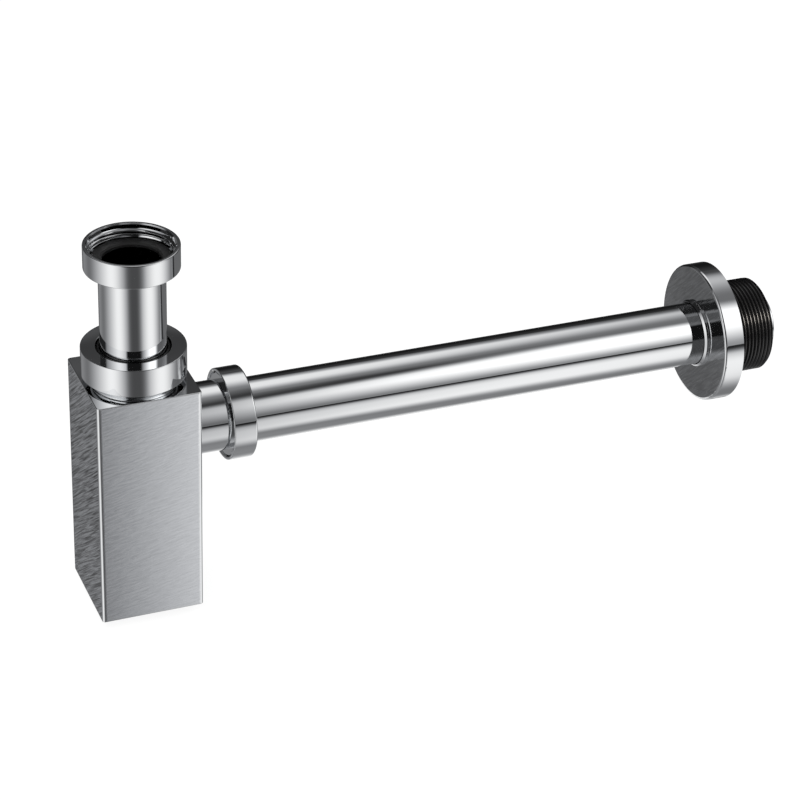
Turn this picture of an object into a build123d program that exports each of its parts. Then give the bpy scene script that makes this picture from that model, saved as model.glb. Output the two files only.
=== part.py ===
"""Washbasin bottle trap with a square body, an outlet pipe, a wall rosette and a threaded wall adapter.

Units are mm. The origin is the seat of the inlet union, on the inlet axis: the top of the inlet washer,
where the end of the basin waste comes to rest. +Z is up along the inlet and +X runs along the outlet pipe
to the wall. The camera side is -Y.
"""

import os

from build123d import *

# tubes of the inlet and the outlet
tube_diameter = 32.0
tube_wall = 1.0
tube_clearance = 0.3
seal_clearance = 0.1
tube_end_break = 0.3

# union thread, 11 turns per inch, drawn plain at its pitch diameter where nut and neck meet;
# the seal space is the room between a tube and the thread's outer diameter of 41.91
union_seal_space = 4.955
union_thread_height = 1.479
union_thread_clearance = 0.1

# inlet union nut with its washer
inlet_nut_wall = 1.945
inlet_nut_height = 12.0
inlet_nut_shoulder = 1.8
inlet_nut_edge = 0.6
inlet_nut_lead = 0.8
inlet_thread_start = 0.0
inlet_washer_lip = 1.0
inlet_washer_thickness = 2.0
inlet_washer_bevel = 0.8
inlet_flange_clearance = 0.25
inlet_flange_thickness = 1.2

# dip tube
water_seal = 50.0

# square body
body_width = 51.5
body_height = 121.0
body_wall = 2.0
body_top_plate = 3.0
body_floor = 3.0
body_corner = 1.6
body_edge = 0.4
body_top_drop = 63.3
outlet_axis_drop = 29.9

# neck on the body and its nut
neck_height = 9.6
neck_seat_depth = 2.5
neck_rim = 1.4
neck_nut_wall = 4.345
neck_nut_height = 14.2
neck_nut_shoulder = 3.0
neck_nut_gap = 2.15
neck_nut_edge = 0.5
neck_nut_lift = 2.4
neck_ring_height = 5.0
neck_washer_thickness = 1.5
slip_washer_clearance = 0.25

# outlet stub with its thread collar, and the nut on it
stub_wall = 1.2
stub_collar_start = 43.6
stub_collar_length = 6.4
stub_seat_depth = 1.5
stub_rim = 1.4
outlet_nut_start = 43.0
outlet_nut_wall = 1.745
outlet_nut_length = 11.85
outlet_nut_shoulder = 1.6
outlet_nut_edge = 1.0
outlet_nut_lead = 0.8
outlet_washer_thickness = 1.0

# outlet pipe
pipe_start = 28.5
pipe_length = 310.0
pipe_protrusion = 4.45

# wall rosette with its grip ring
rosette_diameter = 71.0
rosette_depth = 10.5
rosette_sheet = 1.3
rosette_gap = 0.3
rosette_edge = 1.4
rosette_lip_height = 2.0
rosette_lip_width = 1.1
rosette_lip_bevel = 0.9
grip_ring_width = 4.9
grip_ring_thickness = 4.35

# wall adapter, its male thread drawn plain at its outer diameter
adapter_gap = 0.3
adapter_length = 28.0
adapter_thread_diameter = 47.8
adapter_lead = 1.2
o_ring_section = 2.5
o_ring_groove_width = 2.8
o_ring_setback = 12.0

# clean-out plug in the base
plug_head_diameter = 32.0
plug_head_thickness = 2.5
plug_thread_diameter = 26.0
plug_thread_length = 4.6
plug_clearance = 0.1
plug_slot_width = 3.0
plug_slot_length = 22.0
plug_slot_depth = 1.5
plug_gasket_thickness = 1.5
plug_boss_wall = 4.0
plug_boss_height = 8.6

# derived sizes
tube_radius = tube_diameter / 2
union_thread_diameter = tube_diameter + 2 * union_seal_space
guide_radius = tube_radius + tube_clearance
seal_radius = tube_radius + seal_clearance
union_minor_radius = union_thread_diameter / 2 - union_thread_height
union_pitch_radius = union_thread_diameter / 2 - union_thread_height / 2
neck_radius = union_pitch_radius - union_thread_clearance / 2
nut_bore_radius = union_pitch_radius + union_thread_clearance / 2
slip_washer_radius = nut_bore_radius - slip_washer_clearance
inlet_flange_radius = union_minor_radius - inlet_flange_clearance
inlet_washer_bore_radius = tube_radius - tube_wall - inlet_washer_lip
inlet_nut_radius = union_thread_diameter / 2 + inlet_nut_wall
neck_nut_radius = union_thread_diameter / 2 + neck_nut_wall
neck_nut_hole_radius = tube_radius + neck_nut_gap
neck_seat_radius = neck_radius - neck_rim
stub_radius = guide_radius + stub_wall
stub_seat_radius = neck_radius - stub_rim
outlet_nut_radius = union_thread_diameter / 2 + outlet_nut_wall
rosette_hole_radius = tube_radius + rosette_gap
rosette_lip_radius = rosette_hole_radius + rosette_lip_width
grip_ring_radius = seal_radius + grip_ring_width

flange_top = -inlet_washer_thickness
flange_base = flange_top - inlet_flange_thickness
inlet_nut_base = flange_base - inlet_nut_shoulder
inlet_nut_top = inlet_nut_base + inlet_nut_height

body_top = -body_top_drop
body_base = body_top - body_height
outlet_z = body_top - outlet_axis_drop
dip_end = outlet_z - (tube_radius - tube_wall) - water_seal

neck_top = body_top + neck_height
neck_nut_base = body_top + neck_nut_lift
neck_nut_top = neck_nut_base + neck_nut_height
neck_shoulder_z = neck_nut_top - neck_nut_shoulder
neck_washer_base = neck_shoulder_z - neck_washer_thickness
neck_ring_base = neck_washer_base - neck_ring_height

stub_end = stub_collar_start + stub_collar_length
outlet_nut_end = outlet_nut_start + outlet_nut_length
outlet_shoulder_x = outlet_nut_end - outlet_nut_shoulder
outlet_washer_start = outlet_shoulder_x - outlet_washer_thickness
stub_seat_start = stub_end - stub_seat_depth

pipe_end = pipe_start + pipe_length
adapter_end = pipe_end - pipe_protrusion
adapter_start = adapter_end - adapter_length
rosette_inner_x = adapter_start - adapter_gap - grip_ring_thickness
rosette_start = rosette_inner_x - rosette_sheet
rosette_end = rosette_start + rosette_depth
rosette_lip_start = rosette_start - rosette_lip_height
o_ring_position = adapter_end - o_ring_setback
o_ring_groove_radius = seal_radius + o_ring_section + seal_clearance
plug_shoulder_z = body_base + plug_head_thickness
plug_seat_z = plug_shoulder_z + plug_gasket_thickness
plug_top = plug_seat_z + plug_thread_length

outlet_plane = Plane(origin=(0, 0, outlet_z), x_dir=(1, 0, 0), z_dir=(0, -1, 0))
outlet_axis = Axis((0, 0, outlet_z), (1, 0, 0))


# square cup, neck and outlet stub in one piece
with BuildPart() as trap_body:
    with BuildSketch(Plane.XY.offset(body_base)):
        RectangleRounded(body_width, body_width, body_corner)
    extrude(amount=body_height)
    rims = trap_body.faces().filter_by(Axis.Z).edges()
    fillet(rims, radius=body_edge)
    with BuildSketch(Plane.XY.offset(body_base + body_floor)):
        Rectangle(body_width - 2 * body_wall, body_width - 2 * body_wall)
    extrude(amount=body_height - body_floor - body_top_plate, mode=Mode.SUBTRACT)
    with Locations((0, 0, body_base)):
        Cylinder(
            plug_thread_diameter / 2 + plug_boss_wall,
            plug_boss_height,
            align=(Align.CENTER, Align.CENTER, Align.MIN),
        )
    with Locations((0, 0, body_top - body_edge)):
        Cylinder(
            neck_radius,
            neck_height + body_edge,
            align=(Align.CENTER, Align.CENTER, Align.MIN),
        )
    with BuildSketch(outlet_plane):
        with BuildLine():
            Polyline(
                (body_width / 2 - body_wall / 2, 0),
                (body_width / 2 - body_wall / 2, stub_radius),
                (stub_collar_start, stub_radius),
                (stub_collar_start, neck_radius),
                (stub_end, neck_radius),
                (stub_end, 0),
                close=True,
            )
        make_face()
    revolve(axis=outlet_axis)
    with BuildSketch(outlet_plane):
        with BuildLine():
            Polyline(
                (body_width / 2 - 2 * body_wall, 0),
                (body_width / 2 - 2 * body_wall, guide_radius),
                (stub_seat_start, guide_radius),
                (stub_end, stub_seat_radius),
                (stub_end, 0),
                close=True,
            )
        make_face()
    revolve(axis=outlet_axis, mode=Mode.SUBTRACT)
    with BuildSketch(Plane.XZ):
        with BuildLine():
            Polyline(
                (0, body_top - 2 * body_top_plate),
                (guide_radius, body_top - 2 * body_top_plate),
                (guide_radius, neck_top - neck_seat_depth),
                (neck_seat_radius, neck_top),
                (0, neck_top),
                close=True,
            )
        make_face()
    revolve(axis=Axis.Z, mode=Mode.SUBTRACT)
    with BuildSketch(Plane.XZ):
        with BuildLine():
            Polyline(
                (0, body_base),
                (plug_head_diameter / 2 + plug_clearance, body_base),
                (plug_head_diameter / 2 + plug_clearance, plug_seat_z),
                (plug_thread_diameter / 2 + plug_clearance, plug_seat_z),
                (plug_thread_diameter / 2 + plug_clearance, body_base + plug_boss_height),
                (0, body_base + plug_boss_height),
                close=True,
            )
        make_face()
    revolve(axis=Axis.Z, mode=Mode.SUBTRACT)

# rubber cone ring in the neck's mouth
with BuildPart() as neck_sealing_ring:
    with BuildSketch(Plane.XZ):
        with BuildLine():
            Polyline(
                (seal_radius, neck_ring_base),
                (guide_radius - seal_clearance, neck_ring_base),
                (neck_seat_radius - seal_clearance, neck_top),
                (neck_seat_radius - seal_clearance, neck_washer_base),
                (seal_radius, neck_washer_base),
                close=True,
            )
        make_face()
    revolve(axis=Axis.Z)

with BuildPart() as neck_slip_washer:
    with BuildSketch(Plane.XY.offset(neck_washer_base)):
        Circle(slip_washer_radius)
        Circle(guide_radius, mode=Mode.SUBTRACT)
    extrude(amount=neck_washer_thickness)

# lower nut of the inlet
with BuildPart() as neck_nut:
    with BuildSketch(Plane.XZ) as neck_nut_section:
        with BuildLine():
            Polyline(
                (nut_bore_radius, neck_nut_base),
                (neck_nut_radius, neck_nut_base),
                (neck_nut_radius, neck_nut_top),
                (neck_nut_hole_radius, neck_nut_top),
                (neck_nut_hole_radius, neck_shoulder_z),
                (nut_bore_radius, neck_shoulder_z),
                close=True,
            )
        make_face()
        outer_corners = neck_nut_section.vertices().group_by(Axis.X)[-1]
        fillet(outer_corners, radius=neck_nut_edge)
        hole_rim = neck_nut_section.vertices().group_by(Axis.X)[0].sort_by(Axis.Y)[-1]
        fillet(hole_rim, radius=neck_nut_edge)
    revolve(axis=Axis.Z)

# dip tube with its flange
with BuildPart() as inlet_tube:
    with BuildSketch(Plane.XZ):
        with BuildLine():
            Polyline(
                (tube_radius - tube_wall, dip_end),
                (tube_radius, dip_end),
                (tube_radius, flange_base),
                (inlet_flange_radius, flange_base),
                (inlet_flange_radius, flange_top),
                (tube_radius - tube_wall, flange_top),
                close=True,
            )
        make_face()
    revolve(axis=Axis.Z)

with BuildPart() as inlet_washer:
    with BuildSketch(Plane.XZ):
        with BuildLine():
            Polyline(
                (inlet_washer_bore_radius, flange_top),
                (inlet_flange_radius, flange_top),
                (inlet_flange_radius, 0),
                (inlet_washer_bore_radius + inlet_washer_bevel, 0),
                (inlet_washer_bore_radius, -inlet_washer_bevel),
                close=True,
            )
        make_face()
    revolve(axis=Axis.Z)

# union nut; its bore is the thread's inner diameter, with a relief for flange and washer below
with BuildPart() as inlet_nut:
    with BuildSketch(Plane.XZ) as inlet_nut_section:
        with BuildLine():
            Polyline(
                (guide_radius, inlet_nut_base),
                (inlet_nut_radius, inlet_nut_base),
                (inlet_nut_radius, inlet_nut_top),
                (union_minor_radius + inlet_nut_lead, inlet_nut_top),
                (union_minor_radius, inlet_nut_top - inlet_nut_lead),
                (union_minor_radius, inlet_thread_start),
                (union_thread_diameter / 2, inlet_thread_start),
                (union_thread_diameter / 2, flange_base),
                (guide_radius, flange_base),
                close=True,
            )
        make_face()
        outer_corners = inlet_nut_section.vertices().group_by(Axis.X)[-1]
        fillet(outer_corners, radius=inlet_nut_edge)
    revolve(axis=Axis.Z)

# rubber cone ring in the stub's mouth
with BuildPart() as outlet_sealing_ring:
    with BuildSketch(outlet_plane):
        with BuildLine():
            Polyline(
                (stub_seat_start, seal_radius),
                (stub_seat_start, guide_radius - seal_clearance),
                (stub_end, stub_seat_radius - seal_clearance),
                (outlet_washer_start, stub_seat_radius - seal_clearance),
                (outlet_washer_start, seal_radius),
                close=True,
            )
        make_face()
    revolve(axis=outlet_axis)

with BuildPart() as outlet_slip_washer:
    with BuildSketch(outlet_plane):
        with BuildLine():
            Polyline(
                (outlet_washer_start, guide_radius),
                (outlet_washer_start, slip_washer_radius),
                (outlet_shoulder_x, slip_washer_radius),
                (outlet_shoulder_x, guide_radius),
                close=True,
            )
        make_face()
    revolve(axis=outlet_axis)

# nut on the stub's collar
with BuildPart() as outlet_nut:
    with BuildSketch(outlet_plane) as outlet_nut_section:
        with BuildLine():
            Polyline(
                (outlet_nut_start, nut_bore_radius + outlet_nut_lead),
                (outlet_nut_start, outlet_nut_radius),
                (outlet_nut_end, outlet_nut_radius),
                (outlet_nut_end, guide_radius),
                (outlet_shoulder_x, guide_radius),
                (outlet_shoulder_x, nut_bore_radius),
                (outlet_nut_start + outlet_nut_lead, nut_bore_radius),
                close=True,
            )
        make_face()
        outer_corners = outlet_nut_section.vertices().group_by(Axis.Y)[-1].sort_by(Axis.X)
        fillet(outer_corners[-1], radius=outlet_nut_edge)
        mouth_corner = outlet_nut_section.vertices().group_by(Axis.Y)[-1].sort_by(Axis.X)[0]
        fillet(mouth_corner, radius=outlet_nut_edge / 2)
    revolve(axis=outlet_axis)

with BuildPart() as outlet_pipe:
    with BuildSketch(outlet_plane) as pipe_section:
        with BuildLine():
            Polyline(
                (pipe_start, tube_radius - tube_wall),
                (pipe_start, tube_radius),
                (pipe_end, tube_radius),
                (pipe_end, tube_radius - tube_wall),
                close=True,
            )
        make_face()
        chamfer(pipe_section.vertices().group_by(Axis.Y)[-1], length=tube_end_break)
    revolve(axis=outlet_axis)

# round cover with a small bevelled lip round the pipe, open at the wall
with BuildPart() as wall_rosette:
    with BuildSketch(outlet_plane) as rosette_section:
        with BuildLine():
            Polyline(
                (rosette_lip_start, rosette_hole_radius),
                (rosette_lip_start, rosette_lip_radius),
                (rosette_start, rosette_lip_radius),
                (rosette_start, rosette_diameter / 2),
                (rosette_end, rosette_diameter / 2),
                (rosette_end, rosette_diameter / 2 - rosette_sheet),
                (rosette_inner_x, rosette_diameter / 2 - rosette_sheet),
                (rosette_inner_x, rosette_hole_radius),
                close=True,
            )
        make_face()
        lip_edge = rosette_section.vertices().group_by(Axis.X)[0].sort_by(Axis.Y)[-1]
        chamfer(lip_edge, length=rosette_lip_bevel)
        front_edge = rosette_section.vertices().group_by(Axis.Y)[-1].sort_by(Axis.X)[0]
        fillet(front_edge, radius=rosette_edge)
    revolve(axis=outlet_axis)

with BuildPart() as rosette_grip_ring:
    with BuildSketch(outlet_plane):
        with BuildLine():
            Polyline(
                (rosette_inner_x, seal_radius),
                (rosette_inner_x, grip_ring_radius),
                (rosette_inner_x + grip_ring_thickness, grip_ring_radius),
                (rosette_inner_x + grip_ring_thickness, seal_radius),
                close=True,
            )
        make_face()
    revolve(axis=outlet_axis)

# bush for the wall thread, drawn plain at the outer diameter of its thread
with BuildPart() as wall_adapter:
    with BuildSketch(outlet_plane):
        with BuildLine():
            Polyline(
                (adapter_start, guide_radius),
                (adapter_start, adapter_thread_diameter / 2 - adapter_lead),
                (adapter_start + adapter_lead, adapter_thread_diameter / 2),
                (adapter_end - adapter_lead, adapter_thread_diameter / 2),
                (adapter_end, adapter_thread_diameter / 2 - adapter_lead),
                (adapter_end, guide_radius),
                (o_ring_position + o_ring_groove_width / 2, guide_radius),
                (o_ring_position + o_ring_groove_width / 2, o_ring_groove_radius),
                (o_ring_position - o_ring_groove_width / 2, o_ring_groove_radius),
                (o_ring_position - o_ring_groove_width / 2, guide_radius),
                close=True,
            )
        make_face()
    revolve(axis=outlet_axis)

with BuildPart() as adapter_o_ring:
    with BuildSketch(outlet_plane):
        with Locations((o_ring_position, seal_radius + o_ring_section / 2)):
            Circle(o_ring_section / 2)
    revolve(axis=outlet_axis)

# slotted plug, flush with the base
with BuildPart() as clean_out_plug:
    with Locations((0, 0, body_base)):
        Cylinder(
            plug_head_diameter / 2,
            plug_head_thickness,
            align=(Align.CENTER, Align.CENTER, Align.MIN),
        )
    with Locations((0, 0, plug_shoulder_z)):
        Cylinder(
            plug_thread_diameter / 2,
            plug_top - plug_shoulder_z,
            align=(Align.CENTER, Align.CENTER, Align.MIN),
        )
    with BuildSketch(Plane.XY.offset(body_base)):
        SlotOverall(plug_slot_length, plug_slot_width)
    extrude(amount=plug_slot_depth, mode=Mode.SUBTRACT)

with BuildPart() as plug_gasket:
    with BuildSketch(Plane.XY.offset(plug_shoulder_z)):
        Circle(plug_head_diameter / 2)
        Circle(plug_thread_diameter / 2 + plug_clearance, mode=Mode.SUBTRACT)
    extrude(amount=plug_gasket_thickness)

pieces = {
    "trap_body": trap_body,
    "neck_sealing_ring": neck_sealing_ring,
    "neck_slip_washer": neck_slip_washer,
    "neck_nut": neck_nut,
    "inlet_tube": inlet_tube,
    "inlet_washer": inlet_washer,
    "inlet_nut": inlet_nut,
    "outlet_sealing_ring": outlet_sealing_ring,
    "outlet_slip_washer": outlet_slip_washer,
    "outlet_nut": outlet_nut,
    "outlet_pipe": outlet_pipe,
    "wall_rosette": wall_rosette,
    "rosette_grip_ring": rosette_grip_ring,
    "wall_adapter": wall_adapter,
    "adapter_o_ring": adapter_o_ring,
    "clean_out_plug": clean_out_plug,
    "plug_gasket": plug_gasket,
}
os.makedirs("parts", exist_ok=True)
for name, piece in pieces.items():
    piece.part.label = name
    export_step(piece.part, f"parts/{name}.step")
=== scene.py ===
"""Washbasin bottle trap: finishes, cut threads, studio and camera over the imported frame."""

import math

import bmesh
import bpy
from bpy.props import FloatProperty, FloatVectorProperty, IntProperty, PointerProperty
from bpy.types import Operator, Panel, PropertyGroup
from mathutils import Matrix, Vector


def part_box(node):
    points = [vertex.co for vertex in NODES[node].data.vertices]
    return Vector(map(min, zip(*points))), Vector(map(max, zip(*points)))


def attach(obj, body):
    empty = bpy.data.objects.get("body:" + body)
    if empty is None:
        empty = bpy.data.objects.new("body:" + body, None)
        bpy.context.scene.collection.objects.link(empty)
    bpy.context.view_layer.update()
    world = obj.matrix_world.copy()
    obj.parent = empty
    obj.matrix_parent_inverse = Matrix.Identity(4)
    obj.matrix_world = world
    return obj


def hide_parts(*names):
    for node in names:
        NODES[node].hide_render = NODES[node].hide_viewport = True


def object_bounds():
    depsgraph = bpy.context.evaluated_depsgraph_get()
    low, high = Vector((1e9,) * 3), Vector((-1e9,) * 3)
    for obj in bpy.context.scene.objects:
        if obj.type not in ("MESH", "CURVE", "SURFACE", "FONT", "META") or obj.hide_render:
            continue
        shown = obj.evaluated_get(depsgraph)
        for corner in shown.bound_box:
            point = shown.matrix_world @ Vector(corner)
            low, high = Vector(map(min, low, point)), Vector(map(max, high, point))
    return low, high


bl_info = {
    "name": "Bottle trap dresser",
    "version": (1, 0, 0),
    "blender": (4, 5, 0),
    "location": "View3D > Sidebar > Bottle trap",
    "description": "Threads, finishes and studio for a chrome washbasin bottle trap",
    "category": "Object",
}

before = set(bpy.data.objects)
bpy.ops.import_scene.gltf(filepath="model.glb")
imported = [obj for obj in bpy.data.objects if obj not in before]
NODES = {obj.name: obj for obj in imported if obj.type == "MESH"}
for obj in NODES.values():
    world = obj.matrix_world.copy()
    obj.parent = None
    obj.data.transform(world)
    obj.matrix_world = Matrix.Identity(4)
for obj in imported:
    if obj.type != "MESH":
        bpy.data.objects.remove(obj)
CAD_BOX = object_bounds()
MM = 0.001
X_AXIS = Vector((1, 0, 0))
Y_AXIS = Vector((0, 1, 0))
Z_AXIS = Vector((0, 0, 1))
# height of the square body, and the free play between a nut or bush and its tube
BODY_HEIGHT = 121 * MM
PLAY = 0.3 * MM
# how far the foot of a drawn thread sinks into the piece that carries it
ROOT = 0.05 * MM
# the edge angle up to which a thread is shaded smooth
THREAD_SMOOTH = 58.0


def srgb(code):
    """Linear colour of an sRGB hex value."""
    parts = [int(code[i : i + 2], 16) / 255 for i in (1, 3, 5)]
    return tuple(p / 12.92 if p <= 0.04045 else ((p + 0.055) / 1.055) ** 2.4 for p in parts)


def grey(level):
    """Linear radiance of an sRGB grey level; levels above 255 are brighter than white."""
    part = level / 255
    return part / 12.92 if part <= 0.04045 else ((part + 0.055) / 1.055) ** 2.4


def add_node(tree, kind, inputs=None, **settings):
    """Adds a node, sets its properties, and fills or links its inputs."""
    node = tree.nodes.new(kind)
    for key, value in settings.items():
        setattr(node, key, value)
    for key, value in (inputs or {}).items():
        if isinstance(value, bpy.types.NodeSocket):
            tree.links.new(value, node.inputs[key])
        else:
            node.inputs[key].default_value = value
    return node


def new_tree(name):
    """An empty material with its output node, and its node tree."""
    material = bpy.data.materials.new(name)
    material.use_nodes = True
    tree = material.node_tree
    tree.nodes.clear()
    return material, tree, tree.nodes.new("ShaderNodeOutputMaterial")


class ThreadSizes(PropertyGroup):
    """Sizes of the cut threads, in metres."""

    pitch: FloatProperty(
        name="Pitch", description="Rise of one turn of a thread", default=2.0 * MM, unit="LENGTH"
    )
    depth: FloatProperty(
        name="Depth", description="Height of a thread ridge", default=1.28 * MM, unit="LENGTH"
    )
    nut_crest: FloatProperty(
        name="Nut crest",
        description="Inner radius of the inlet nut's thread",
        default=19.476 * MM,
        unit="LENGTH",
    )
    union_radius: FloatProperty(
        name="Union radius",
        description="Outer radius of the neck and stub threads",
        default=20.955 * MM,
        unit="LENGTH",
    )
    wall_radius: FloatProperty(
        name="Wall radius", description="Outer radius of the wall thread", default=23.9 * MM, unit="LENGTH"
    )
    steps: IntProperty(name="Steps", description="Steps in one turn of a thread", default=144, min=24)


class TrapFinishes(PropertyGroup):
    """Base colours of the finishes."""

    chrome: FloatVectorProperty(
        name="Chrome", description="Polished chrome plate", subtype="COLOR", size=3, default=srgb("#F3F4F5")
    )
    brushed: FloatVectorProperty(
        name="Brushed chrome",
        description="Brushed faces of the body",
        subtype="COLOR",
        size=3,
        default=srgb("#F5F7FA"),
    )
    rubber: FloatVectorProperty(
        name="Rubber", description="Seals and washers", subtype="COLOR", size=3, default=srgb("#191919")
    )
    plastic: FloatVectorProperty(
        name="Plastic",
        description="Wall adapter and slip washers",
        subtype="COLOR",
        size=3,
        default=srgb("#0D0D0E"),
    )


class StudioSettings(PropertyGroup):
    """Camera and studio."""

    lens: FloatProperty(name="Lens", description="Focal length", default=124.863, unit="CAMERA")
    distance: FloatProperty(
        name="Distance", description="From camera to target", default=1.38522, unit="LENGTH"
    )
    azimuth: FloatProperty(
        name="Azimuth",
        description="Camera's turn round the trap",
        default=math.radians(-22.535),
        subtype="ANGLE",
    )
    elevation: FloatProperty(
        name="Elevation",
        description="Camera above the horizon",
        default=math.radians(30.611),
        subtype="ANGLE",
    )
    roll: FloatProperty(
        name="Roll", description="Camera's roll", default=math.radians(2.0365), subtype="ANGLE"
    )
    tent_radius: FloatProperty(
        name="Tent radius", description="Radius of the light tent", default=0.8, unit="LENGTH"
    )
    floor_colour: FloatVectorProperty(
        name="Floor", description="Pale floor", subtype="COLOR", size=3, default=srgb("#FAFAFA")
    )


# chrome plate on polished brass: a near mirror with faint polishing haze and hairlines
def polished_chrome():
    finishes = bpy.context.scene.trap_finishes
    material, tree, output = new_tree("polished_chrome_plate")
    place = add_node(tree, "ShaderNodeTexCoord")
    haze = add_node(
        tree, "ShaderNodeTexNoise", {"Vector": place.outputs["Object"], "Scale": 90.0, "Detail": 3.0}
    )
    gloss = add_node(
        tree,
        "ShaderNodeMapRange",
        {"Value": haze.outputs["Fac"], "From Min": 0.3, "From Max": 0.75, "To Min": 0.025, "To Max": 0.05},
    )
    ripple = add_node(
        tree, "ShaderNodeTexNoise", {"Vector": place.outputs["Object"], "Scale": 160.0, "Detail": 1.0}
    )
    bump = add_node(
        tree, "ShaderNodeBump", {"Height": ripple.outputs["Fac"], "Strength": 0.05, "Distance": 0.02 * MM}
    )
    shader = add_node(
        tree,
        "ShaderNodeBsdfPrincipled",
        {
            "Base Color": (*finishes.chrome, 1.0),
            "Metallic": 1.0,
            "Roughness": gloss.outputs["Result"],
            "Normal": bump.outputs["Normal"],
        },
    )
    tree.links.new(shader.outputs["BSDF"], output.inputs["Surface"])
    return material


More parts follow.
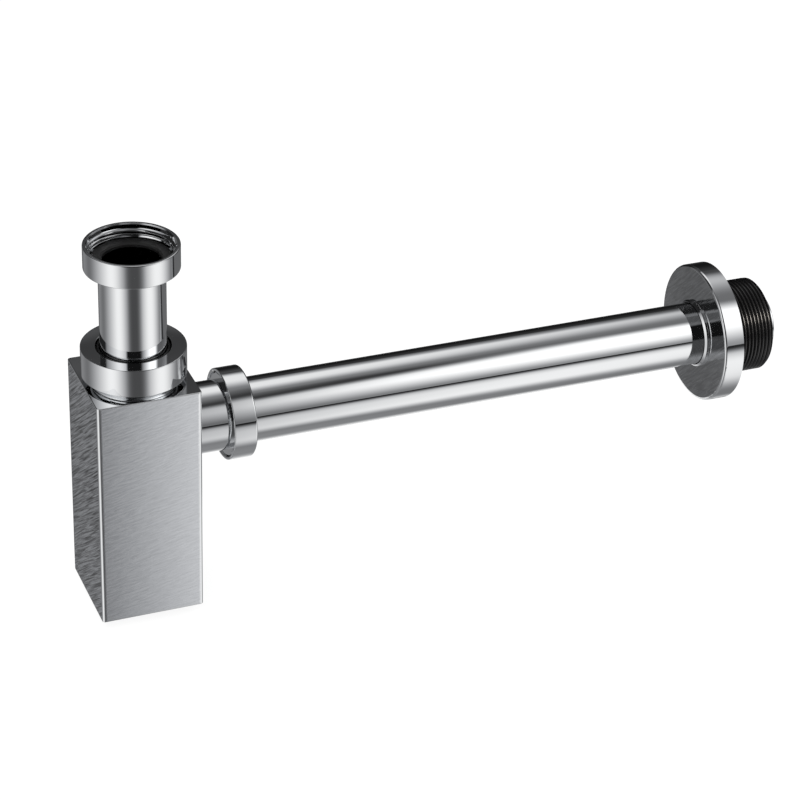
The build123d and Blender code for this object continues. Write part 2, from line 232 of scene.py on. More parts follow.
# brushed side faces with polished corners, neck and stub: a satin sheen with hairline streaks, drawn
# about a millimetre wide, twice the real grit, so that they show; on the left and right faces their
# darkening to black is painted shade
def brushed_chrome():
    finishes = bpy.context.scene.trap_finishes
    low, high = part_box("trap_body")
    half = (high.y - low.y) / 2
    middle = low.z + BODY_HEIGHT / 2
    material, tree, output = new_tree("brushed_chrome_plate")
    place = add_node(tree, "ShaderNodeTexCoord").outputs["Object"]
    axes = add_node(tree, "ShaderNodeSeparateXYZ", {"Vector": place})
    across = add_node(tree, "ShaderNodeMath", {0: axes.outputs["X"]}, operation="ABSOLUTE").outputs[0]
    along = add_node(tree, "ShaderNodeMath", {0: axes.outputs["Y"]}, operation="ABSOLUTE").outputs[0]
    wide = add_node(tree, "ShaderNodeMath", {0: across, 1: along}, operation="MAXIMUM").outputs[0]
    narrow = add_node(tree, "ShaderNodeMath", {0: across, 1: along}, operation="MINIMUM").outputs[0]
    height = add_node(
        tree, "ShaderNodeMath", {0: axes.outputs["Z"], 1: middle}, operation="SUBTRACT"
    ).outputs[0]
    rise = add_node(tree, "ShaderNodeMath", {0: height}, operation="ABSOLUTE").outputs[0]
    # a point is brushed where it lies on the square's sides, clear of its corners and rims
    on_side = add_node(
        tree, "ShaderNodeMath", {0: wide, 1: half, 2: 0.06 * MM}, operation="COMPARE"
    ).outputs[0]
    brushed = on_side
    for value, edge in ((narrow, half - 1.3 * MM), (rise, BODY_HEIGHT / 2 - 0.2 * MM)):
        clear = add_node(
            tree,
            "ShaderNodeMapRange",
            {"Value": value, "From Min": edge - 0.9 * MM, "From Max": edge, "To Min": 1.0, "To Max": 0.0},
        )
        brushed = add_node(
            tree, "ShaderNodeMath", {0: brushed, 1: clear.outputs[0]}, operation="MULTIPLY"
        ).outputs[0]
    # streaks rise 11 degrees on the front and back, and 37 degrees on the left and right
    grain = []
    for turn, scale in (((0.0, 0.192, 0.0), (120, 120, 1000)), ((0.65, 0.0, 0.0), (40, 40, 1250))):
        turned = add_node(tree, "ShaderNodeMapping", {"Vector": place, "Rotation": turn})
        drawn = add_node(tree, "ShaderNodeMapping", {"Vector": turned.outputs["Vector"], "Scale": scale})
        streak = add_node(
            tree,
            "ShaderNodeTexNoise",
            {
                "Vector": drawn.outputs["Vector"],
                "Scale": 1.0,
                "Detail": 3.0,
                "Roughness": 0.6,
                "Distortion": 0.5,
            },
        )
        grain.append(streak.outputs["Fac"])
    left_right = add_node(tree, "ShaderNodeMath", {0: across, 1: along}, operation="GREATER_THAN").outputs[0]
    streaks = add_node(
        tree, "ShaderNodeMix", {"Factor": left_right, "A": grain[0], "B": grain[1]}, data_type="FLOAT"
    ).outputs["Result"]
    satin = add_node(
        tree,
        "ShaderNodeMapRange",
        {"Value": streaks, "From Min": 0.3, "From Max": 0.7, "To Min": 0.15, "To Max": 0.24},
    )
    rough = add_node(
        tree,
        "ShaderNodeMix",
        {"Factor": brushed, "A": 0.04, "B": satin.outputs["Result"]},
        data_type="FLOAT",
    )
    # the front and back streaks are faint grain; on the left and right faces the streaks go down to black,
    # which is painted shade standing in for the reflected contrast of those faces
    grain_and_painted_shade_depth = add_node(tree, "ShaderNodeMapRange", {"Value": left_right, "To Min": 0.9, "To Max": 0.0})
    shade = add_node(
        tree,
        "ShaderNodeMapRange",
        {"Value": streaks, "From Min": 0.36, "From Max": 0.6, "To Min": grain_and_painted_shade_depth.outputs[0], "To Max": 1.0},
    )
    # the colour darkens along the streaks: grain on the front and back, grain and painted shade on the left
    # and right
    tone = add_node(
        tree,
        "ShaderNodeMix",
        {"Factor": shade.outputs["Result"], "A": (0.0, 0.0, 0.0, 1.0), "B": (*finishes.brushed, 1.0)},
        data_type="RGBA",
    )
    colour = add_node(
        tree,
        "ShaderNodeMix",
        {"Factor": brushed, "A": (*finishes.chrome, 1.0), "B": tone.outputs["Result"]},
        data_type="RGBA",
    )
    # hand-finished faces are slightly crowned, so their sheen shifts from edge to edge
    spread = add_node(tree, "ShaderNodeMath", {0: narrow, 1: narrow}, operation="MULTIPLY").outputs[0]
    lift = add_node(tree, "ShaderNodeMath", {0: height, 1: height}, operation="MULTIPLY").outputs[0]
    lift = add_node(tree, "ShaderNodeMath", {0: lift, 1: 0.3}, operation="MULTIPLY").outputs[0]
    crown = add_node(tree, "ShaderNodeMath", {0: spread, 1: lift}, operation="ADD").outputs[0]
    crown = add_node(tree, "ShaderNodeMath", {0: crown, 1: -0.5}, operation="MULTIPLY").outputs[0]
    crown = add_node(tree, "ShaderNodeMath", {0: crown, 1: on_side}, operation="MULTIPLY").outputs[0]
    bowed = add_node(tree, "ShaderNodeBump", {"Height": crown, "Strength": 1.0, "Distance": 1.0})
    raised = add_node(tree, "ShaderNodeMath", {0: streaks, 1: brushed}, operation="MULTIPLY").outputs[0]
    grit = add_node(
        tree, "ShaderNodeMapRange", {"Value": left_right, "To Min": 0.55, "To Max": 1.0}
    ).outputs[0]
    raised = add_node(tree, "ShaderNodeMath", {0: raised, 1: grit}, operation="MULTIPLY").outputs[0]
    bump = add_node(
        tree,
        "ShaderNodeBump",
        {"Height": raised, "Strength": 1.0, "Distance": 0.12 * MM, "Normal": bowed.outputs["Normal"]},
    )
    shader = add_node(
        tree,
        "ShaderNodeBsdfPrincipled",
        {
            "Base Color": colour.outputs["Result"],
            "Metallic": 1.0,
            "Roughness": rough.outputs["Result"],
            "Normal": bump.outputs["Normal"],
        },
    )
    tree.links.new(shader.outputs["BSDF"], output.inputs["Surface"])
    return material


# chrome plate over a turned cover: its flat face keeps faint slanting polishing lines, its rim is a mirror
def cover_chrome():
    finishes = bpy.context.scene.trap_finishes
    # the flat face lies 2 mm behind the front of the lip round the pipe
    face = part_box("wall_rosette")[0].x + 2.0 * MM
    material, tree, output = new_tree("polished_chrome_cover")
    place = add_node(tree, "ShaderNodeTexCoord").outputs["Object"]
    axes = add_node(tree, "ShaderNodeSeparateXYZ", {"Vector": place})
    on_face = add_node(
        tree,
        "ShaderNodeMapRange",
        {
            "Value": axes.outputs["X"],
            "From Min": face + 0.02 * MM,
            "From Max": face + 0.1 * MM,
            "To Min": 1.0,
            "To Max": 0.0,
        },
    ).outputs[0]
    on_lip = add_node(
        tree, "ShaderNodeMath", {0: axes.outputs["X"], 1: face - 0.02 * MM}, operation="LESS_THAN"
    ).outputs[0]
    on_face = add_node(
        tree, "ShaderNodeMath", {0: on_face, 1: on_lip}, operation="SUBTRACT", use_clamp=True
    ).outputs[0]
    turned = add_node(tree, "ShaderNodeMapping", {"Vector": place, "Rotation": (0.75, 0.0, 0.0)})
    drawn = add_node(
        tree, "ShaderNodeMapping", {"Vector": turned.outputs["Vector"], "Scale": (100, 90, 900)}
    )
    lines = add_node(
        tree,
        "ShaderNodeTexNoise",
        {
            "Vector": drawn.outputs["Vector"],
            "Scale": 1.0,
            "Detail": 3.0,
            "Roughness": 0.6,
            "Distortion": 0.3,
        },
    ).outputs["Fac"]
    rough = add_node(
        tree, "ShaderNodeMapRange", {"Value": on_face, "To Min": 0.035, "To Max": 0.06}
    )
    raised = add_node(tree, "ShaderNodeMath", {0: lines, 1: on_face}, operation="MULTIPLY").outputs[0]
    bump = add_node(
        tree, "ShaderNodeBump", {"Height": raised, "Strength": 1.0, "Distance": 0.025 * MM}
    )
    tone = add_node(
        tree,
        "ShaderNodeMapRange",
        {"Value": raised, "From Min": 0.36, "From Max": 0.62, "To Min": 1.0, "To Max": 0.72},
    )
    colour = add_node(
        tree,
        "ShaderNodeMix",
        {"Factor": tone.outputs[0], "A": (0.0, 0.0, 0.0, 1.0), "B": (*finishes.chrome, 1.0)},
        data_type="RGBA",
    )
    shader = add_node(
        tree,
        "ShaderNodeBsdfPrincipled",
        {
            "Base Color": colour.outputs["Result"],
            "Metallic": 1.0,
            "Roughness": rough.outputs["Result"],
            "Normal": bump.outputs["Normal"],
        },
    )
    tree.links.new(shader.outputs["BSDF"], output.inputs["Surface"])
    return material


# moulded black rubber: dull, with a fine mould grain
def moulded_rubber():
    finishes = bpy.context.scene.trap_finishes
    material, tree, output = new_tree("moulded_black_rubber")
    place = add_node(tree, "ShaderNodeTexCoord")
    grain = add_node(
        tree, "ShaderNodeTexNoise", {"Vector": place.outputs["Object"], "Scale": 1800.0, "Detail": 2.0}
    )
    dust = add_node(
        tree, "ShaderNodeTexNoise", {"Vector": place.outputs["Object"], "Scale": 160.0, "Detail": 4.0}
    )
    tone = add_node(
        tree,
        "ShaderNodeMapRange",
        {"Value": dust.outputs["Fac"], "From Min": 0.3, "From Max": 0.8, "To Min": 0.5, "To Max": 0.62},
    )
    bump = add_node(
        tree, "ShaderNodeBump", {"Height": grain.outputs["Fac"], "Strength": 0.3, "Distance": 0.05 * MM}
    )
    shader = add_node(
        tree,
        "ShaderNodeBsdfPrincipled",
        {
            "Base Color": (*finishes.rubber, 1.0),
            "Roughness": tone.outputs["Result"],
            "IOR": 1.52,
            "Normal": bump.outputs["Normal"],
        },
    )
    tree.links.new(shader.outputs["BSDF"], output.inputs["Surface"])
    return material


# injection-moulded black plastic: half gloss, with a slight mottle in the gloss
def moulded_plastic():
    finishes = bpy.context.scene.trap_finishes
    material, tree, output = new_tree("moulded_black_plastic")
    place = add_node(tree, "ShaderNodeTexCoord")
    mottle = add_node(
        tree, "ShaderNodeTexNoise", {"Vector": place.outputs["Object"], "Scale": 300.0, "Detail": 3.0}
    )
    gloss = add_node(
        tree,
        "ShaderNodeMapRange",
        {"Value": mottle.outputs["Fac"], "From Min": 0.3, "From Max": 0.7, "To Min": 0.16, "To Max": 0.22},
    )
    bump = add_node(
        tree, "ShaderNodeBump", {"Height": mottle.outputs["Fac"], "Strength": 0.1, "Distance": 0.05 * MM}
    )
    shader = add_node(
        tree,
        "ShaderNodeBsdfPrincipled",
        {
            "Base Color": (*finishes.plastic, 1.0),
            "Roughness": gloss.outputs["Result"],
            "IOR": 1.53,
            "Normal": bump.outputs["Normal"],
        },
    )
    tree.links.new(shader.outputs["BSDF"], output.inputs["Surface"])
    return material


def finish_of(name, maker):
    """The finish of that name, made once."""
    return bpy.data.materials.get(name) or maker()


def dress(node, material):
    """Gives a CAD node its finish."""
    node.data.materials.clear()
    node.data.materials.append(material)


def spun(bm, points, centre, axis, steps=128):
    """Spins a closed profile into a ring."""
    corners = [bm.verts.new(p) for p in points]
    edges = [bm.edges.new((corners[i - 1], corners[i])) for i in range(len(corners))]
    bmesh.ops.spin(bm, geom=edges, cent=centre, axis=axis, angle=2 * math.pi, steps=steps, use_merge=True)


def coil(bm, points, centre, axis, start, end, steps, pitch, base, lead):
    """Winds a ridge profile round an axis, cuts its ends flat and fades them into the base radius."""
    middle, way = Vector(centre), Vector(axis)
    span = max(p.dot(way) for p in points) - min(p.dot(way) for p in points)
    turns = int((end - start + 2 * span) / pitch * steps) / steps
    first = min(p.dot(way) for p in points)
    shift = way * (start - span - first)
    wound = bmesh.new()
    face = wound.faces.new([wound.verts.new(p + shift) for p in points])
    bmesh.ops.spin(
        wound,
        geom=[face],
        cent=middle,
        axis=way,
        dvec=way * (pitch / steps),
        angle=2 * math.pi * turns,
        steps=round(turns * steps),
        use_merge=False,
    )
    bmesh.ops.recalc_face_normals(wound, faces=wound.faces[:])
    for place, normal in ((start, -way), (end, way)):
        cut = bmesh.ops.bisect_plane(
            wound,
            geom=wound.verts[:] + wound.edges[:] + wound.faces[:],
            plane_co=middle - way * middle.dot(way) + way * place,
            plane_no=normal,
            clear_outer=True,
        )
        rim = [e for e in cut["geom_cut"] if isinstance(e, bmesh.types.BMEdge)]
        bmesh.ops.holes_fill(wound, edges=rim, sides=0)
    # the first and last turns of a cut thread run out towards the base
    for vert in wound.verts:
        along = (vert.co - middle).dot(way)
        out = vert.co - middle - way * along
        near = min(along + middle.dot(way) - start, end - along - middle.dot(way))
        if near < lead:
            fade = max(near, 0.0) / lead
            radius = base + (out.length - base) * (0.25 + 0.75 * fade)
            vert.co += out.normalized() * (radius - out.length)
    mesh = bpy.data.meshes.new("ridge")
    wound.to_mesh(mesh)
    wound.free()
    bm.from_mesh(mesh)
    bpy.data.meshes.remove(mesh)


def ridge(pitch, foot, crest, flat, along, outward):
    """The profile of a thread ridge, with a rounded crest, from its foot radius to its crest radius."""
    width = pitch * 0.96
    shape = (
        (0.0, foot),
        (width / 2 - flat, foot + (crest - foot) * 0.93),
        (width / 2 - flat * 0.4, crest),
        (width / 2 + flat * 0.4, crest),
        (width / 2 + flat, foot + (crest - foot) * 0.93),
        (width, foot),
    )
    return [along * a + outward * r for a, r in shape]


def to_piece(bm, name, material, body, smooth_deg=35.0, weighted=True):
    """Turns a bmesh into a finished piece that rides on a body."""
    bmesh.ops.remove_doubles(bm, verts=bm.verts[:], dist=1e-7)
    bmesh.ops.recalc_face_normals(bm, faces=bm.faces[:])
    for edge in bm.edges:
        edge.smooth = edge.calc_face_angle(0.0) < math.radians(smooth_deg)
    for face in bm.faces:
        face.smooth = True
    mesh = bpy.data.meshes.new(name)
    bm.to_mesh(mesh)
    bm.free()
    piece = bpy.data.objects.new(name, mesh)
    bpy.context.scene.collection.objects.link(piece)
    mesh.materials.append(material)
    if weighted:
        normals = piece.modifiers.new("weighted_normals", "WEIGHTED_NORMAL")
        normals.keep_sharp = True
    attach(piece, body)
    return piece


def rounded(points, radii, steps=4):
    """Rounds the corners of a profile: each corner gets its own radius."""
    out = []
    count = len(points)
    for i, (corner, radius) in enumerate(zip(points, radii)):
        here = Vector(corner)
        if radius == 0:
            out.append(here)
            continue
        back = (Vector(points[i - 1]) - here).normalized()
        ahead = (Vector(points[(i + 1) % count]) - here).normalized()
        reach = radius / math.tan(back.angle(ahead) / 2)
        centre = here + (back + ahead).normalized() * (radius / math.sin(back.angle(ahead) / 2))
        first = here + back * reach - centre
        last = here + ahead * reach - centre
        turn = first.angle(last)
        for k in range(steps + 1):
            t = k / steps
            out.append(
                centre + (first * math.sin((1 - t) * turn) + last * math.sin(t * turn)) / math.sin(turn)
            )
    return out


class TRAP_OT_inlet_nut(Operator):
    """Makes the inlet union nut with its cut inner thread"""

    bl_idname = "trap.inlet_nut"
    bl_label = "Inlet nut"

    def execute(self, context):
        sizes = context.scene.trap_threads
        low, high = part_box("inlet_nut")
        radius = high.x
        tube_low, tube_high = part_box("outlet_pipe")
        guide = (tube_high.y - tube_low.y) / 2 + PLAY
        shoulder = low.z + 1.8 * MM
        bore = sizes.nut_crest + sizes.depth
        profile = [
            (guide, 0, low.z),
            (radius, 0, low.z),
            (radius, 0, high.z),
            (bore + 0.5 * MM, 0, high.z),
            (bore, 0, high.z - 0.5 * MM),
            (bore, 0, shoulder),
            (guide, 0, shoulder),
        ]
        bm = bmesh.new()
        spun(bm, rounded(profile, [0, 0.6 * MM, 0.5 * MM, 0.1 * MM, 0, 0, 0]), (0, 0, 0), Z_AXIS)
        section = ridge(sizes.pitch, bore + ROOT, sizes.nut_crest, 0.25 * MM, Z_AXIS, -Y_AXIS)
        # the top of the bore is plain
        coil(
            bm,
            section,
            (0, 0, 0),
            Z_AXIS,
            0.0,
            high.z - 2.4 * MM,
            sizes.steps,
            sizes.pitch,
            bore + ROOT,
            0.7 * MM,
        )
        chrome = finish_of("polished_chrome_plate", polished_chrome)
        piece = to_piece(bm, "inlet_union_nut", chrome, "inlet_nut")
        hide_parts("inlet_nut")
        return {"FINISHED"}


class TRAP_OT_collar_nuts(Operator):
    """Makes the neck nut and the outlet nut, with room for the threads that they screw on to"""

    bl_idname = "trap.collar_nuts"
    bl_label = "Neck and outlet nuts"

    def execute(self, context):
        sizes = context.scene.trap_threads
        chrome = finish_of("polished_chrome_plate", polished_chrome)
        bore = sizes.union_radius + 0.1 * MM
        tube_low, tube_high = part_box("outlet_pipe")
        tube = (tube_high.y - tube_low.y) / 2
        low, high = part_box("neck_nut")
        # the hole opens out towards the top
        hole = tube + 2.15 * MM
        guide = tube + 1.6 * MM
        shoulder = high.z - 3.0 * MM
        profile = [
            (bore + 0.3 * MM, 0, low.z),
            (high.x, 0, low.z),
            (high.x, 0, high.z),
            (hole, 0, high.z),
            (guide, 0, high.z - 2.3 * MM),
            (guide, 0, shoulder),
            (bore, 0, shoulder),
            (bore, 0, low.z + 0.3 * MM),
        ]
        bm = bmesh.new()
        spun(
            bm,
            rounded(profile, [0, 0.35 * MM, 0.35 * MM, 0.25 * MM, 0.3 * MM, 0, 0, 0]),
            (0, 0, 0),
            Z_AXIS,
        )
        piece = to_piece(bm, "neck_compression_nut", chrome, "neck_nut")
        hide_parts("neck_nut")
        low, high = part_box("outlet_nut")
        axis_z = (low.z + high.z) / 2
        radius = (high.z - low.z) / 2
        guide = tube + PLAY
        shoulder = high.x - 1.6 * MM
        profile = [
            (low.x, 0, axis_z + bore + 0.45 * MM),
            (low.x, 0, axis_z + radius),
            (high.x, 0, axis_z + radius),
            (high.x, 0, axis_z + guide),
            (shoulder, 0, axis_z + guide),
            (shoulder, 0, axis_z + bore),
            (low.x + 0.45 * MM, 0, axis_z + bore),
        ]
        bm = bmesh.new()
        spun(
            bm,
            rounded(profile, [0.15 * MM, 0.5 * MM, 1.0 * MM, 0.3 * MM, 0, 0, 0.1 * MM]),
            (0, 0, axis_z),
            X_AXIS,
        )
        piece = to_piece(bm, "outlet_compression_nut", chrome, "outlet_nut")
        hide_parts("outlet_nut")
        return {"FINISHED"}


class TRAP_OT_slip_washer(Operator):
    """Makes the neck's slip washer, with a collar that stands in the neck nut's hole"""

    bl_idname = "trap.slip_washer"
    bl_label = "Slip washer"

    def execute(self, context):
        plastic = finish_of("moulded_black_plastic", moulded_plastic)
        low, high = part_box("neck_slip_washer")
        nut_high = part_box("neck_nut")[1]
        tube_low, tube_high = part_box("outlet_pipe")
        tube = (tube_high.y - tube_low.y) / 2
        inner = tube + PLAY
        # the collar stays inside the cone of the nut's hole and just under the nut's top
        collar = tube + 1.45 * MM
        top = nut_high.z - 0.6 * MM
        profile = [
            (inner, 0, low.z),
            (high.x, 0, low.z),
            (high.x, 0, high.z),
            (collar, 0, high.z),
            (collar, 0, top),
            (inner, 0, top),
        ]
        bm = bmesh.new()
        spun(bm, rounded(profile, [0, 0, 0, 0, 0.3 * MM, 0.3 * MM]), (0, 0, 0), Z_AXIS)
        piece = to_piece(bm, "collared_slip_washer", plastic, "neck_slip_washer")
        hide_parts("neck_slip_washer")
        return {"FINISHED"}


class TRAP_OT_collar_threads(Operator):
    """Cuts the threads of the neck and of the stub's collar"""

    bl_idname = "trap.collar_threads"
    bl_label = "Neck and stub threads"

    def execute(self, context):
        sizes = context.scene.trap_threads
        chrome = finish_of("polished_chrome_plate", polished_chrome)
        crest = sizes.union_radius - ROOT
        core = sizes.union_radius - 0.85 * MM
        low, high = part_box("trap_body")
        top = low.z + BODY_HEIGHT
        bm = bmesh.new()
        section = ridge(sizes.pitch, core, crest, 0.25 * MM, Z_AXIS, Y_AXIS)
        coil(
            bm,
            section,
            (0, 0, 0),
            Z_AXIS,
            top + 0.4 * MM,
            high.z - 0.3 * MM,
            sizes.steps,
            sizes.pitch,
            core,
            0.8 * MM,
        )
        to_piece(bm, "neck_thread", chrome, "trap_body", THREAD_SMOOTH, weighted=False)
        nut_low, nut_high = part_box("outlet_nut")
        axis_z = (nut_low.z + nut_high.z) / 2
        bm = bmesh.new()
        section = ridge(sizes.pitch, core, crest, 0.25 * MM, X_AXIS, Y_AXIS)
        coil(
            bm,
            [p + Vector((0, 0, axis_z)) for p in section],
            (0, 0, axis_z),
            X_AXIS,
            nut_low.x + 0.75 * MM,
            high.x - 0.2 * MM,
            sizes.steps,
            sizes.pitch,
            core,
            0.8 * MM,
        )
        to_piece(bm, "stub_thread", chrome, "trap_body", THREAD_SMOOTH, weighted=False)
        return {"FINISHED"}


class TRAP_OT_wall_adapter(Operator):
    """Makes the black wall adapter with its outer thread"""

    bl_idname = "trap.wall_adapter"
    bl_label = "Wall adapter"

    def execute(self, context):
        sizes = context.scene.trap_threads
        plastic = finish_of("moulded_black_plastic", moulded_plastic)
        low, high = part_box("wall_adapter")
        axis_z = (low.z + high.z) / 2
        tube_low, tube_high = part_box("outlet_pipe")
        guide = (tube_high.y - tube_low.y) / 2 + PLAY
        ring_low, ring_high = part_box("adapter_o_ring")
        groove = (ring_high.z - ring_low.z) / 2 + 0.1 * MM
        crest = sizes.wall_radius
        core = crest - sizes.depth
        profile = [
            (low.x, 0, axis_z + guide),
            (low.x, 0, axis_z + core),
            (high.x, 0, axis_z + core),
            (high.x, 0, axis_z + guide),
            (ring_high.x + 0.15 * MM, 0, axis_z + guide),
            (ring_high.x + 0.15 * MM, 0, axis_z + groove),
            (ring_low.x - 0.15 * MM, 0, axis_z + groove),
            (ring_low.x - 0.15 * MM, 0, axis_z + guide),
        ]
        bm = bmesh.new()
        spun(bm, rounded(profile, [0, 0.3 * MM, 0.3 * MM, 0.4 * MM, 0, 0, 0, 0]), (0, 0, axis_z), X_AXIS)
        section = ridge(sizes.pitch, core - ROOT, crest, 0.45 * MM, X_AXIS, Y_AXIS)
        coil(
            bm,
            [p + Vector((0, 0, axis_z)) for p in section],
            (0, 0, axis_z),
            X_AXIS,
            low.x + 0.05 * MM,
            high.x - 0.05 * MM,
            sizes.steps,
            sizes.pitch,
            core - ROOT,
            0.9 * MM,
        )
        piece = to_piece(
            bm,
            "threaded_wall_adapter",
            plastic,
            "wall_adapter",
            THREAD_SMOOTH,
            weighted=False,
        )
        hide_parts("wall_adapter")
        return {"FINISHED"}


class TRAP_OT_finishes(Operator):
    """Gives every carried-over CAD node its finish"""

    bl_idname = "trap.finishes"
    bl_label = "Finishes"

    def execute(self, context):
        chrome = finish_of("polished_chrome_plate", polished_chrome)
        rubber = finish_of("moulded_black_rubber", moulded_rubber)
        plastic = finish_of("moulded_black_plastic", moulded_plastic)
        dress(NODES["trap_body"], finish_of("brushed_chrome_plate", brushed_chrome))
        dress(NODES["wall_rosette"], finish_of("polished_chrome_cover", cover_chrome))
        for name in ("inlet_tube", "outlet_pipe", "clean_out_plug"):
            dress(NODES[name], chrome)
        for name in (
            "neck_sealing_ring",
            "inlet_washer",
            "outlet_sealing_ring",
            "rosette_grip_ring",
            "adapter_o_ring",
            "plug_gasket",
        ):
            dress(NODES[name], rubber)
        dress(NODES["outlet_slip_washer"], plastic)
        return {"FINISHED"}


# soft panels of the light tent: sRGB level, then the turn and height in degrees at which each edge
# starts and how far it fades in, seen from the middle of the tent; turn 0 is 15 degrees right of the front
TENT_PANELS = [
    ("grey_back_left", 95, (-200, 5), (-129, 65), (-100, 5), (30, 30)),
    ("front_right_low", 250, (-33, 53), (81, 57), (-67, 26), (8, 31)),
    ("left_box", 294, (-149, 101), (-44, 48), (-80, 40), (70, 30)),
    ("dark_back", 25, (110, 11), (400, 10), (-24, 25), (59, 53)),
    ("front_right_box", 300, (-21, 48), (58, 22), (-8, 47), (76, 41)),
    ("gap_over_box", 60, (-20, 20), (71, 34), (50, 15), (86, 20)),
    ("back_box", 238, (67, 72), (400, 10), (31, 17), (90, 28)),
    ("back_low_box", 272, (94, 37), (400, 10), (-81, 54), (-37, 1)),
    ("front_flag", 75, (-59, 20), (-4, 27), (-70, 30), (55, 30)),
    ("table_edge", 25, (-25, 10), (40, 20), (-11, 10), (1, 1)),
    ("grey_under_back_box", 57, (116, 27), (400, 10), (32, 1), (53, 23)),
    ("grey_left_wall", 94, (-200, 5), (-118, 40), (-21, 29), (10, 20)),
    ("soft_gap", 40, (-30, 12), (44, 38), (38, 61), (51, 41)),
    ("dark_right", 40, (60, 20), (120, 20), (-20, 10), (39, 10)),
    ("grey_table_left", 134, (-179, 9), (-128, 40), (-85, 20), (0, 20)),
    ("dark_camera_stand", 22, (-66, 8), (-10, 10), (0, 6), (59, 7)),
    ("dark_back_left_wall", 36, (-186, 6), (-126, 12), (20, 6), (72, 7)),
    ("grey_over_camera", 92, (-130, 14), (-40, 12), (55, 6), (96, 4)),
]
# sRGB levels of the plain cloth straight below, at the horizon and straight above
TENT_GREYS = (144, 83, 132)


def light_tent(radius, centre):
    """A round tent that only reflections see, so that the chrome mirrors soft boxes and dark flags."""
    bm = bmesh.new()
    bmesh.ops.create_uvsphere(bm, u_segments=96, v_segments=48, radius=radius)
    bmesh.ops.reverse_faces(bm, faces=bm.faces[:])
    mesh = bpy.data.meshes.new("light_tent")
    bm.to_mesh(mesh)
    bm.free()
    tent = bpy.data.objects.new("light_tent", mesh)
    bpy.context.scene.collection.objects.link(tent)
    tent.location = centre
    material, tree, output = new_tree("light_tent_cloth")
    place = add_node(tree, "ShaderNodeTexCoord")
    way = add_node(tree, "ShaderNodeVectorMath", {0: place.outputs["Object"]}, operation="NORMALIZE")
    turned = add_node(
        tree, "ShaderNodeMapping", {"Vector": way.outputs[0], "Rotation": (0, 0, math.radians(-15))}
    )
    axes = add_node(tree, "ShaderNodeSeparateXYZ", {"Vector": turned.outputs["Vector"]})
    front = add_node(tree, "ShaderNodeMath", {0: axes.outputs["Y"], 1: -1.0}, operation="MULTIPLY")
    turn = add_node(
        tree, "ShaderNodeMath", {0: axes.outputs["X"], 1: front.outputs[0]}, operation="ARCTAN2"
    )
    turn = add_node(tree, "ShaderNodeMath", {0: turn.outputs[0]}, operation="DEGREES")
    height = add_node(tree, "ShaderNodeMath", {0: axes.outputs["Z"]}, operation="ARCSINE")
    height = add_node(tree, "ShaderNodeMath", {0: height.outputs[0]}, operation="DEGREES")
    low = add_node(
        tree,
        "ShaderNodeMapRange",
        {
            "Value": height.outputs[0],
            "From Min": -90.0,
            "From Max": 0.0,
            "To Min": grey(TENT_GREYS[0]),
            "To Max": grey(TENT_GREYS[1]),
        },
    )
    high = add_node(
        tree,
        "ShaderNodeMapRange",
        {
            "Value": height.outputs[0],
            "From Min": 0.0,
            "From Max": 90.0,
            "To Min": 0.0,
            "To Max": grey(TENT_GREYS[2]) - grey(TENT_GREYS[1]),
        },
    )
    light = add_node(
        tree, "ShaderNodeMath", {0: low.outputs[0], 1: high.outputs[0]}, operation="ADD"
    ).outputs[0]
    for label, level, left, right, bottom, top in TENT_PANELS:
        mask = None
        for value, begin, end in (
            (turn.outputs[0], left[0], left[0] + left[1]),
            (turn.outputs[0], right[0], right[0] - right[1]),
            (height.outputs[0], bottom[0], bottom[0] + bottom[1]),
            (height.outputs[0], top[0], top[0] - top[1]),
        ):
            edge = add_node(
                tree,
                "ShaderNodeMapRange",
                {
                    "Value": value,
                    "From Min": min(begin, end),
                    "From Max": max(begin, end),
                    "To Min": 0.0 if begin < end else 1.0,
                    "To Max": 1.0 if begin < end else 0.0,
                },
                interpolation_type="SMOOTHSTEP",
            )
            if mask is None:
                mask = edge.outputs[0]
            else:
                mask = add_node(
                    tree, "ShaderNodeMath", {0: mask, 1: edge.outputs[0]}, operation="MULTIPLY"
                ).outputs[0]
        panel = add_node(
            tree,
            "ShaderNodeMix",
            {"Factor": mask, "A": light, "B": grey(level)},
            data_type="FLOAT",
            label=label,
        )
        light = panel.outputs["Result"]
    # the cloth's shaded parts are a little bluer than its lit ones
    lit = add_node(tree, "ShaderNodeMapRange", {"Value": light, "From Min": 0.25, "From Max": 0.85})
    tint = add_node(
        tree,
        "ShaderNodeMix",
        {"Factor": lit.outputs[0], "A": (*srgb("#FBFCFF"), 1.0), "B": (1.0, 1.0, 1.0, 1.0)},
        data_type="RGBA",
    )
    glow = add_node(tree, "ShaderNodeEmission", {"Color": tint.outputs["Result"], "Strength": light})
    tree.links.new(glow.outputs["Emission"], output.inputs["Surface"])
    material.cycles.emission_sampling = "NONE"
    mesh.materials.append(material)
    tent.visible_camera = False
    tent.visible_shadow = False
    tent.visible_diffuse = False
    tent.visible_transmission = False


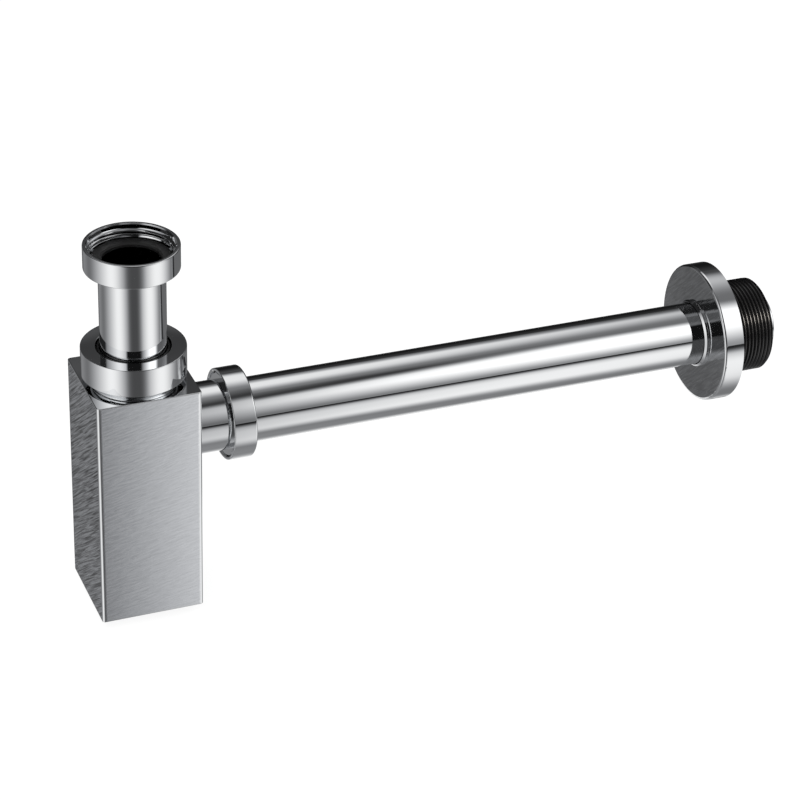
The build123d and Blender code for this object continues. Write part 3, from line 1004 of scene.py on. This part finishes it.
class TRAP_OT_stage(Operator):
    """Sets up the camera, the pale floor, the light tent and the lamps"""

    bl_idname = "trap.stage"
    bl_label = "Stage"

    def execute(self, context):
        studio = context.scene.trap_studio
        scene = context.scene
        ground = CAD_BOX[0].z
        target = Vector((0.13731, 0.0, ground + 0.08126))
        turn, rise, roll = studio.azimuth, studio.elevation, studio.roll
        back = Vector((math.sin(turn) * math.cos(rise), -math.cos(turn) * math.cos(rise), math.sin(rise)))
        right = Vector((math.cos(turn), math.sin(turn), 0.0))
        up = back.cross(right)
        side = right * math.cos(roll) + up * math.sin(roll)
        head = up * math.cos(roll) - right * math.sin(roll)
        lens = bpy.data.cameras.new("photo_camera")
        lens.lens = studio.lens
        lens.sensor_width = 36.0
        lens.clip_start = 0.01
        lens.clip_end = 50.0
        camera = bpy.data.objects.new("photo_camera", lens)
        scene.collection.objects.link(camera)
        pose = Matrix((side, head, back)).transposed().to_4x4()
        pose.translation = target + back * studio.distance
        camera.matrix_world = pose
        scene.camera = camera

        bm = bmesh.new()
        bmesh.ops.create_grid(bm, x_segments=1, y_segments=1, size=6.0)
        mesh = bpy.data.meshes.new("studio_floor")
        bm.to_mesh(mesh)
        bm.free()
        floor = bpy.data.objects.new("studio_floor", mesh)
        scene.collection.objects.link(floor)
        floor.location = (0.0, 0.0, ground - 6 * MM)
        material, tree, output = new_tree("pale_floor")
        path = add_node(tree, "ShaderNodeLightPath")
        matt = add_node(tree, "ShaderNodeBsdfDiffuse", {"Color": (*studio.floor_colour, 1.0)})
        faint = add_node(tree, "ShaderNodeBsdfDiffuse", {"Color": (0.24, 0.24, 0.24, 1.0)})
        glow = add_node(tree, "ShaderNodeEmission", {"Color": (1.0, 1.0, 1.0, 1.0), "Strength": 0.86})
        shown = add_node(tree, "ShaderNodeAddShader", {0: faint.outputs[0], 1: glow.outputs[0]})
        floor_shader = add_node(
            tree,
            "ShaderNodeMixShader",
            {0: path.outputs["Is Camera Ray"], 1: matt.outputs[0], 2: shown.outputs[0]},
        )
        # from below the floor is clear, so that the base can be looked at
        under = add_node(tree, "ShaderNodeNewGeometry")
        clear = add_node(tree, "ShaderNodeBsdfTransparent")
        floor_shader = add_node(
            tree,
            "ShaderNodeMixShader",
            {0: under.outputs["Backfacing"], 1: floor_shader.outputs[0], 2: clear.outputs[0]},
        )
        tree.links.new(floor_shader.outputs[0], output.inputs["Surface"])
        mesh.materials.append(material)
        floor.visible_glossy = False

        light_tent(studio.tent_radius, Vector((0.12, 0.0, ground + 0.091)))

        for name, place, size, power in (
            ("lamp_front_left", (-0.7, -1.1, 1.3), 1.2, 14.0),
            ("lamp_back_right", (1.2, 0.9, 1.4), 1.2, 8.0),
            ("lamp_front_right", (0.62, -0.467, 0.302), 0.45, 11.0),
        ):
            lamp = bpy.data.lights.new(name, "AREA")
            lamp.shape = "SQUARE"
            lamp.size = size
            lamp.energy = power
            holder = bpy.data.objects.new(name, lamp)
            scene.collection.objects.link(holder)
            aim = Vector((0.1, 0.0, ground + 0.08)) - Vector(place)
            turned = aim.to_track_quat("-Z", "Y").to_matrix().to_4x4()
            holder.matrix_world = Matrix.Translation(place) @ turned
            # only the small front lamp is mirrored, and only in the black thread; the tent's boxes
            # stand for the others
            holder.visible_glossy = name == "lamp_front_right"
            if holder.visible_glossy:
                lamp.color = srgb("#FFF6EA")
                lit = bpy.data.collections.new("lit_by_front_right")
                lit.objects.link(bpy.data.objects["threaded_wall_adapter"])
                holder.light_linking.receiver_collection = lit

        world = bpy.data.worlds.new("pale_studio")
        scene.world = world
        world.use_nodes = True
        tree = world.node_tree
        tree.nodes.clear()
        output = tree.nodes.new("ShaderNodeOutputWorld")
        path = add_node(tree, "ShaderNodeLightPath")
        seen = add_node(
            tree,
            "ShaderNodeMath",
            {0: path.outputs["Is Camera Ray"], 1: path.outputs["Is Glossy Ray"]},
            operation="MAXIMUM",
        )
        seen = add_node(
            tree,
            "ShaderNodeMath",
            {0: seen.outputs[0], 1: path.outputs["Is Transmission Ray"]},
            operation="MAXIMUM",
        )
        strength = add_node(
            tree, "ShaderNodeMix", {"Factor": seen.outputs[0], "A": 0.55, "B": 1.0}, data_type="FLOAT"
        )
        sky = add_node(
            tree,
            "ShaderNodeBackground",
            {"Color": (1.0, 1.0, 1.0, 1.0), "Strength": strength.outputs["Result"]},
        )
        tree.links.new(sky.outputs["Background"], output.inputs["Surface"])
        scene.view_settings.view_transform = "Standard"
        return {"FINISHED"}


class TRAP_PT_panel(Panel):
    """Lists the operators and the settings of the trap"""

    bl_idname = "TRAP_PT_panel"
    bl_label = "Bottle trap"
    bl_space_type = "VIEW_3D"
    bl_region_type = "UI"
    bl_category = "Bottle trap"

    def draw(self, context):
        for settings in ("trap_threads", "trap_finishes", "trap_studio"):
            group = getattr(context.scene, settings)
            box = self.layout.box()
            for key in group.__annotations__:
                box.prop(group, key)
        for operator in OPERATORS:
            self.layout.operator(operator.bl_idname)


GROUPS = (
    ("trap_threads", ThreadSizes),
    ("trap_finishes", TrapFinishes),
    ("trap_studio", StudioSettings),
)
OPERATORS = (
    TRAP_OT_finishes,
    TRAP_OT_inlet_nut,
    TRAP_OT_collar_nuts,
    TRAP_OT_slip_washer,
    TRAP_OT_collar_threads,
    TRAP_OT_wall_adapter,
    TRAP_OT_stage,
)


def register():
    for name, group in GROUPS:
        bpy.utils.register_class(group)
        setattr(bpy.types.Scene, name, PointerProperty(type=group))
    for cls in (*OPERATORS, TRAP_PT_panel):
        bpy.utils.register_class(cls)


def unregister():
    for cls in reversed((*OPERATORS, TRAP_PT_panel)):
        bpy.utils.unregister_class(cls)
    for name, group in reversed(GROUPS):
        delattr(bpy.types.Scene, name)
        bpy.utils.unregister_class(group)


def main():
    register()
    bpy.ops.trap.finishes()
    bpy.ops.trap.inlet_nut()
    bpy.ops.trap.collar_nuts()
    bpy.ops.trap.slip_washer()
    bpy.ops.trap.collar_threads()
    bpy.ops.trap.wall_adapter()
    bpy.ops.trap.stage()


if __name__ == "__main__":
    main()
